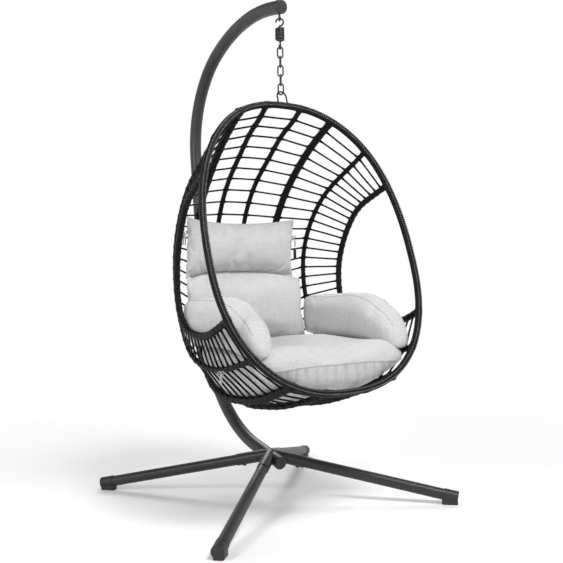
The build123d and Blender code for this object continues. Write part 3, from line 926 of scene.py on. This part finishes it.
SEAT_SECTIONS = {        # y: (x, z) from the middle of the underside to the middle of the top
    -465: [(0, 490), (88, 491), (198, 516), (260, 543), (294, 563), (274, 577), (0, 581)],
    -430: [(0, 475), (88, 476), (206, 508), (290, 554), (326, 586), (308, 600), (0, 601)],
    -400: [(0, 465), (88, 466), (212, 500), (300, 560), (328, 591), (306, 605), (0, 610)],
    -250: [(0, 421), (90, 422), (211, 458), (312, 558), (326, 598), (284, 613), (0, 625)],
    -100: [(0, 395), (88, 396), (208, 440), (300, 550), (312, 596), (276, 615), (0, 629)],
    50: [(0, 388), (84, 389), (196, 452), (272, 560), (276, 594), (250, 606), (0, 617)],
    118: [(0, 410), (80, 411), (178, 488), (232, 574), (242, 590), (228, 600), (0, 606)],
}
SEAT_RINGS = 64
SEAT_SIDES = 120
SEAT_FRONT_BULGE = 14.0
SEAT_BACK_BULGE = 8.0
SEAT_CAPS = 10           # rings of each bulging end
SEAT_FINE = 900          # points of a section's curve before it is thinned out
SEAT_PIPING = [          # the sitter's left half of the piping round the front
    (0, -486, 565), (180, -480, 561), (288, -466, 558), (312, -444, 566)]


def seat_ring(y):
    """The seat cushion's outline at a distance back, as (x, z) points round it."""
    keys = sorted(SEAT_SECTIONS)
    half = [(np.interp(y, keys, [SEAT_SECTIONS[key][k][0] for key in keys]),
             np.interp(y, keys, [SEAT_SECTIONS[key][k][1] for key in keys]))
            for k in range(len(SEAT_SECTIONS[keys[0]]))]
    points = [(x, 0, z) for x, z in half] + [(-x, 0, z) for x, z in half[-2:0:-1]]
    wrapped = points[-3:] + points + points[:4]
    line = cubic(wrapped, SEAT_FINE)
    from_start = np.linalg.norm(line - np.array(points[0]), axis=1)
    first = int(np.argmin(from_start[:SEAT_FINE // 3]))
    last = SEAT_FINE // 2 + int(np.argmin(from_start[SEAT_FINE // 2:]))
    return even(line[first:last + 1], SEAT_SIDES + 1)[:-1]


def seat_cushion():
    """The seat cushion: it fills the basket's bottom, with a crowned top and a bulging front."""
    rings = []
    for y in np.linspace(max(SEAT_SECTIONS), min(SEAT_SECTIONS), SEAT_RINGS):
        ring = seat_ring(y)
        ring[:, 1] = y
        rings.append(ring)
    for end, bulge in ((0, SEAT_BACK_BULGE), (-1, -SEAT_FRONT_BULGE)):
        base = rings[end]
        centre = base.mean(axis=0)
        caps = []
        for part in np.linspace(0.92, 0.08, SEAT_CAPS):
            cap = centre + (base - centre) * part
            cap[:, 1] += bulge * math.sqrt(1 - part * part)
            caps.append(cap)
        rings = caps[::-1] + rings if end == 0 else rings + caps
    faces = ring_faces(len(rings), SEAT_SIDES)
    obj = new_object("seat_cloth", np.concatenate(rings), faces, cloth)
    remesh(obj, 6.5)
    inflate(obj, 9.0, slack=0.02)
    subdivide(obj)
    fold_front(obj)
    finish_piece(obj, "basket", "linen", "seat_cushion")
    right = [(-x, y, z) for x, y, z in SEAT_PIPING[:0:-1]]
    add_seam("seat_piping", obj, right + SEAT_PIPING, 3.6, 0.8, 240)
    return obj


FOLDS = [(-214, 9), (-178, 7), (-141, 12), (-96, 8), (-60, 14), (-18, 9), (22, 12), (71, 8),
         (104, 13), (149, 9), (190, 12), (226, 8)]      # x and half width of the folds of the front
FOLD_DEPTH = 6.5
FOLD_LEAN = 0.10         # how far a fold goes outwards for each millimetre down
FOLD_TOP, FOLD_FADE = 562.0, 22.0         # where the folds end at the piping, and over what height
FOLD_BACK, FOLD_BACK_FADE = -430.0, 40.0  # where they end going back, and over what distance


def fold_front(obj):
    """Sew gathers into the seat's front border: upright folds that fade upward and backward."""
    co = np.empty(len(obj.data.vertices) * 3, np.float32)
    obj.data.vertices.foreach_get("co", co)
    co = co.reshape(-1, 3)
    x = co[:, 0] * METRE
    y = co[:, 1] * METRE - STAND_Y
    z = co[:, 2] * METRE
    front = np.clip((FOLD_BACK - y) / FOLD_BACK_FADE, 0, 1)
    below = np.clip((FOLD_TOP - z) / FOLD_FADE, 0, 1)
    depth = np.zeros_like(x)
    for place, half in FOLDS:
        middle = place + FOLD_LEAN * (FOLD_TOP - z) * math.copysign(1, place)
        depth += np.exp(-((x - middle) / half) ** 2)
    co[:, 1] += FOLD_DEPTH * MM * depth * front * below
    obj.data.vertices.foreach_set("co", co.ravel())
    obj.data.update()


seat_cushion()

# ---------------------------------------------------------------- ties and tag

TIE_WIDTH = 8.0
TIE_THICKNESS = 1.2
TIE_POINTS = 30
TIE_SIDES = 8
BOW_SHARE = 0.6          # width of the bow's tape, as a share of the tails'
TAG_POINTS = 12
TAG_HALF_THICKNESS = 0.4
TAG_WAVE = 1.2           # how far the tag curls


def add_ribbon(tubes, points, width):
    """Add a flat tape along points."""
    path = cubic(points, TIE_POINTS)
    angle = np.arange(TIE_SIDES) * 2 * math.pi / TIE_SIDES
    flat = np.hypot(width / 2 * np.cos(angle), TIE_THICKNESS / 2 * np.sin(angle))
    tubes.add(path, flat[None, :], TIE_SIDES)


TIES = [                 # knot's middle, length of the tail, and how far the tails spread
    ((431.5, -392.0, 733.0), 100.0, 4.0),
    ((-356.0, -262.0, 541.0), 34.0, 4.0),
    ((246.0, 184.0, 1040.0), 40.0, 14.0),
    ((-275.5, 174.0, 1050.0), 46.0, 6.0),
]
tubes = Tubes()
for (x, y, z), tail, spread in TIES:
    for way in (-1, 1):
        add_ribbon(tubes, [(x, y, z), (x + way * spread * 0.5, y - 2, z - tail * 0.3),
                           (x + way * spread, y + way * 3, z - tail * 0.7),
                           (x + way * spread * 0.7, y, z - tail)], TIE_WIDTH)
        add_ribbon(tubes, [(x, y, z), (x + way * 7, y - 3, z + 7), (x + way * 12, y, z + 2),
                           (x + way * 7, y + 3, z - 4), (x, y, z)], TIE_WIDTH * BOW_SHARE)
finish_piece(tubes.build("tie_tapes", cloth), "basket", "linen", "cushion_ties")


def blank_tag():
    """The pillow's small label, left blank: a slightly curled strip where its CAD node is."""
    low, high = ([value * METRE for value in corner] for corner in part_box("care_tag"))
    verts = []
    for part in np.linspace(0, 1, TAG_POINTS):
        x = low[0] + (high[0] - low[0]) * part
        y = (low[1] + high[1]) / 2 + TAG_WAVE * math.sin(part * 5) - STAND_Y
        for thick in (-TAG_HALF_THICKNESS, TAG_HALF_THICKNESS):
            verts += [(x, y + thick, low[2]), (x, y + thick, high[2])]
    faces = []
    for i in range(TAG_POINTS - 1):
        a, b = 4 * i, 4 * i + 4
        faces += [[a, b, b + 1, a + 1], [a + 3, b + 3, b + 2, a + 2],
                  [a + 1, b + 1, b + 3, a + 3], [a + 2, b + 2, b, a]]
    faces += [[0, 1, 3, 2], [b + 2, b + 3, b + 1, b]]
    tag = new_object("blank_tag", verts, faces, tag_cloth, smooth=False)
    finish_piece(tag, "basket", "tag_cloth", "care_tag")


blank_tag()

# ---------------------------------------------------------------- stage, light and camera

FLOOR_RADIUS = 30.0      # metres
FLOOR_DROP = 0.0005      # metres below the feet
bpy.ops.mesh.primitive_circle_add(vertices=96, radius=FLOOR_RADIUS, fill_type="NGON",
                                  location=(0, 0, -FLOOR_DROP))
floor = bpy.context.object
floor.name = "floor"
floor.data.materials.append(floor_material())


def area_light(name, place, aim, size, power):
    """A square soft light at a place in metres, facing a point."""
    light = bpy.data.lights.new(name, "AREA")
    light.size = size
    light.energy = power
    obj = bpy.data.objects.new(name, light)
    bpy.context.scene.collection.objects.link(obj)
    obj.location = place
    obj.rotation_euler = (Vector(aim) - Vector(place)).to_track_quat("-Z", "Y").to_euler()


area_light("key", (0.3, -2.4, 3.8), (0, -0.1, 0.8), 1.2, 118)
area_light("left_fill", (-3.4, -0.6, 2.6), (0, 0, 0.8), 1.0, 45)
area_light("back_rim", (1.6, 3.0, 3.0), (0, 0, 1.0), 1.4, 60)

DIM_FROM, DIM_TO = 0.34, 0.60      # height in the sky over which the world's light falls off
OVERHEAD_LIGHT = 0.25              # what is left of it overhead

world = bpy.data.worlds.new("studio")
world.use_nodes = True
bpy.context.scene.world = world
sky = world.node_tree
place = sky.nodes.new("ShaderNodeTexCoord")
parts = sky.nodes.new("ShaderNodeSeparateXYZ")
sky.links.new(place.outputs["Generated"], parts.inputs["Vector"])
dim = sky.nodes.new("ShaderNodeMapRange")
dim.interpolation_type = "SMOOTHSTEP"
dim.inputs["From Min"].default_value = DIM_FROM
dim.inputs["From Max"].default_value = DIM_TO
dim.inputs["To Min"].default_value = 1.0
dim.inputs["To Max"].default_value = OVERHEAD_LIGHT
sky.links.new(parts.outputs["Z"], dim.inputs["Value"])
sky.links.new(dim.outputs["Result"], sky.nodes["Background"].inputs["Strength"])
sky.nodes["Background"].inputs["Color"].default_value = (1, 1, 1, 1)
bpy.context.scene.view_settings.view_transform = "Standard"

yaw, pitch, roll = (math.radians(a) for a in (CAMERA_YAW, CAMERA_PITCH, CAMERA_ROLL))
ahead = Vector((math.cos(pitch) * math.sin(yaw), math.cos(pitch) * math.cos(yaw), math.sin(pitch)))
level = ahead.cross(Vector((0, 0, 1))).normalized()
up = level.cross(ahead)
right = level * math.cos(roll) + up * math.sin(roll)
up = up * math.cos(roll) - level * math.sin(roll)
camera_data = bpy.data.cameras.new("camera")
camera_data.lens = LENS
camera_data.sensor_width = SENSOR
camera_data.clip_end = 100
camera = bpy.data.objects.new("camera", camera_data)
bpy.context.scene.collection.objects.link(camera)
turn = Matrix((right, up, -ahead)).transposed().to_4x4()
camera.matrix_world = Matrix.Translation(at(*CAMERA_AT)) @ turn
bpy.context.scene.camera = camera
